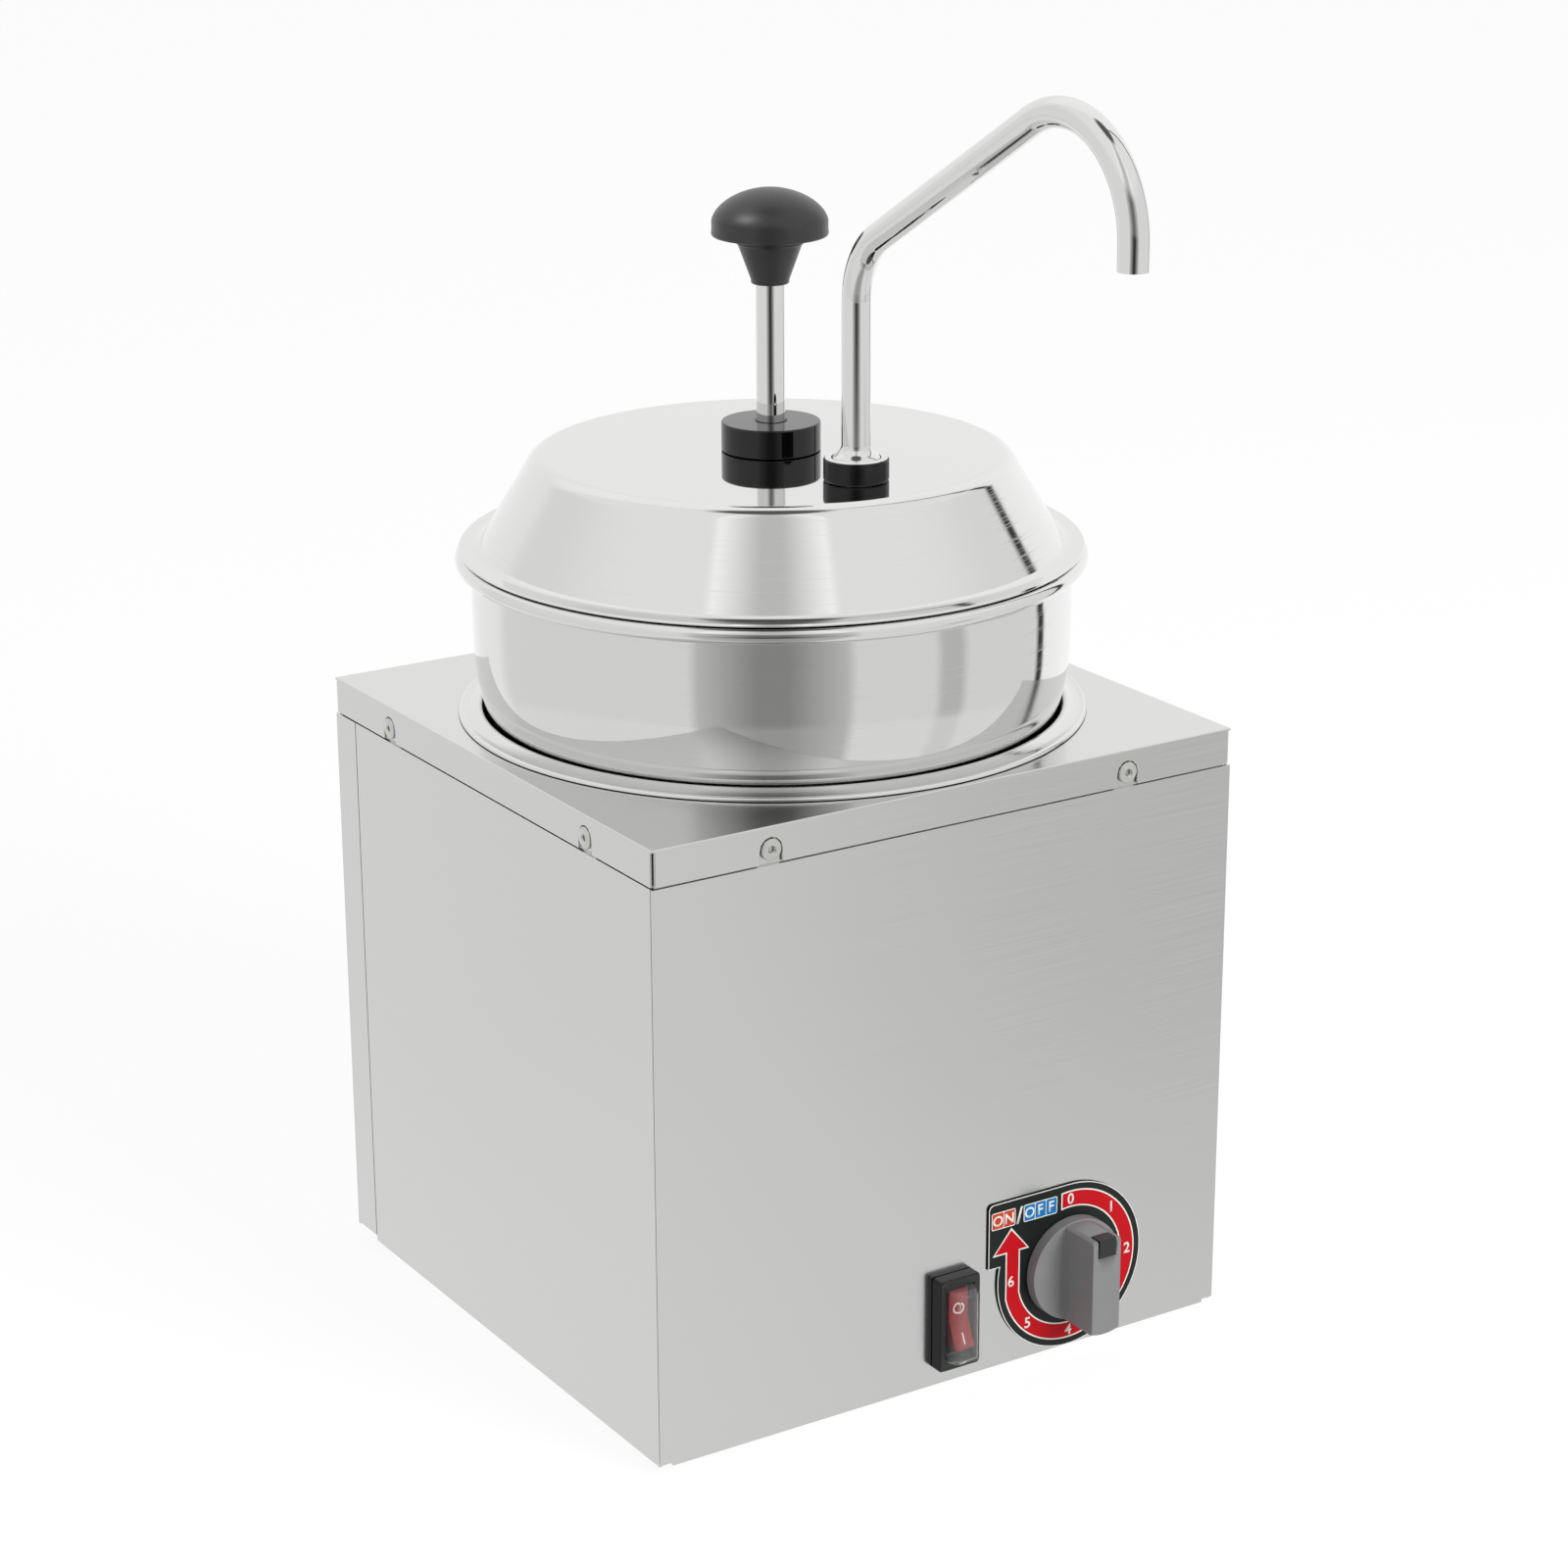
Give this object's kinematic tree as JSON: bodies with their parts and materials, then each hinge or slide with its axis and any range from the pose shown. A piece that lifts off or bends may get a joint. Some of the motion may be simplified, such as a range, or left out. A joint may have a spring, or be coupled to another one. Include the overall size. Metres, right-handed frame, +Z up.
{
  "type": "cheese warmer",
  "caption": "Counter-top food warmer: heated water well in a sheet steel casing, lift-out round pot, domed lid, plunger pump with swivel spout, dial knob and covered rocker switch.",
  "frame": {"origin": "on the table, under the middle of the whole part's bounding box; the pot's axis stands 46.7 mm behind it", "axes": "+Z up, -Y is the front with the dial and the spout, +X is the right hand side seen from the front"},
  "size_m": [0.2412, 0.3318, 0.4701],
  "materials": {
    "casing_steel": "brushed stainless sheet, satin",
    "polished_steel": "polished stainless steel",
    "plated_steel": "zinc plated steel, dull",
    "element_sheath": "oxidised steel sheath",
    "copper": "drawn copper",
    "black_nylon": "moulded, fine texture",
    "gloss_black": "turned and polished",
    "grey_abs": "moulded satin",
    "dial_print": "printed plate, satin",
    "red_switch": "moulded, translucent",
    "clear_cover": "clear moulded",
    "ceramic": "moulded, dull",
    "rubber": "moulded rubber",
    "silicone": "translucent silicone",
    "wire_insulation": "silicone insulation"
  },
  "bodies": {
    "casing": {"top_cap": "casing_steel", "front_panel": "casing_steel", "left_panel": "casing_steel", "right_panel": "casing_steel", "rear_panel": "casing_steel", "base_plate": "casing_steel", "water_pan": "casing_steel", "clamp_plate": "plated_steel", "clamp_nut": "plated_steel", "thermostat_body": "plated_steel", "thermostat_screw_1": "plated_steel", "thermostat_screw_2": "plated_steel", "rivet_front_1": "plated_steel", "rivet_front_2": "plated_steel", "rivet_rear_1": "plated_steel", "rivet_rear_2": "plated_steel", "rivet_left_1": "plated_steel", "rivet_left_2": "plated_steel", "rivet_right_1": "plated_steel", "rivet_right_2": "plated_steel", "heating_element": "element_sheath", "thermostat_bulb": "copper", "switch_bezel": "black_nylon", "switch_housing": "black_nylon", "dial_plate": "dial_print", "switch_cover": "clear_cover", "thermal_cutout": "ceramic", "terminal_block": "ceramic", "foot_front_left": "rubber", "foot_front_right": "rubber", "foot_rear_left": "rubber", "foot_rear_right": "rubber", "inlet_grommet": "rubber", "wire_switch": "wire_insulation", "wire_thermostat": "wire_insulation", "wire_element": "wire_insulation"},
    "pot": {"inner_pot": "polished_steel"},
    "lid": {"lid": "polished_steel", "pump_collar": "gloss_black", "pump_cylinder": "polished_steel", "return_spring": "polished_steel", "valve_body": "black_nylon", "discharge_tube": "polished_steel", "spout_nut": "gloss_black", "spout_gasket": "silicone"},
    "plunger": {"plunger_rod": "polished_steel", "knob_boss": "black_nylon", "knob_cap": "black_nylon", "piston": "black_nylon", "piston_seal": "silicone"},
    "spout": {"spout": "polished_steel"},
    "ball": {"valve_ball": "polished_steel"},
    "control": {"control_knob": "grey_abs", "knob_pointer": "black_nylon", "thermostat_shaft": "plated_steel"},
    "rocker": {"switch_rocker": "red_switch"}
  },
  "joints": [
    {"name": "pot_lift", "type": "slide", "parent": "casing", "child": "pot", "axis": [0, 0, 1], "range_m": [0, 0.125]},
    {"name": "lid_lift", "type": "slide", "parent": "pot", "child": "lid", "axis": [0, 0, 1], "range_m": [0, 0.165]},
    {"name": "plunger", "type": "slide", "parent": "lid", "child": "plunger", "axis": [0, 0, -1], "range_m": [0, 0.04], "stiffness_N_per_m": 400, "springref_m": -0.02, "deforming": ["return_spring"]},
    {"name": "spout_swivel", "type": "hinge", "parent": "lid", "child": "spout", "pos_m": [0, -0.00827, 0.34], "axis": [0, 0, 1], "range_deg": [-110, 110]},
    {"name": "valve_ball_lift", "type": "slide", "parent": "lid", "child": "ball", "axis": [0, 0, 1], "range_m": [0, 0.004]},
    {"name": "knob_turn", "type": "hinge", "parent": "casing", "child": "control", "pos_m": [0.0523, -0.07952, 0.0376], "axis": [0, 1, 0], "range_deg": [0, 270]},
    {"name": "rocker_tilt", "type": "hinge", "parent": "casing", "child": "rocker", "pos_m": [0.0009, -0.06753, 0.0298], "axis": [1, 0, 0], "range_deg": [0, 24]}
  ]
}
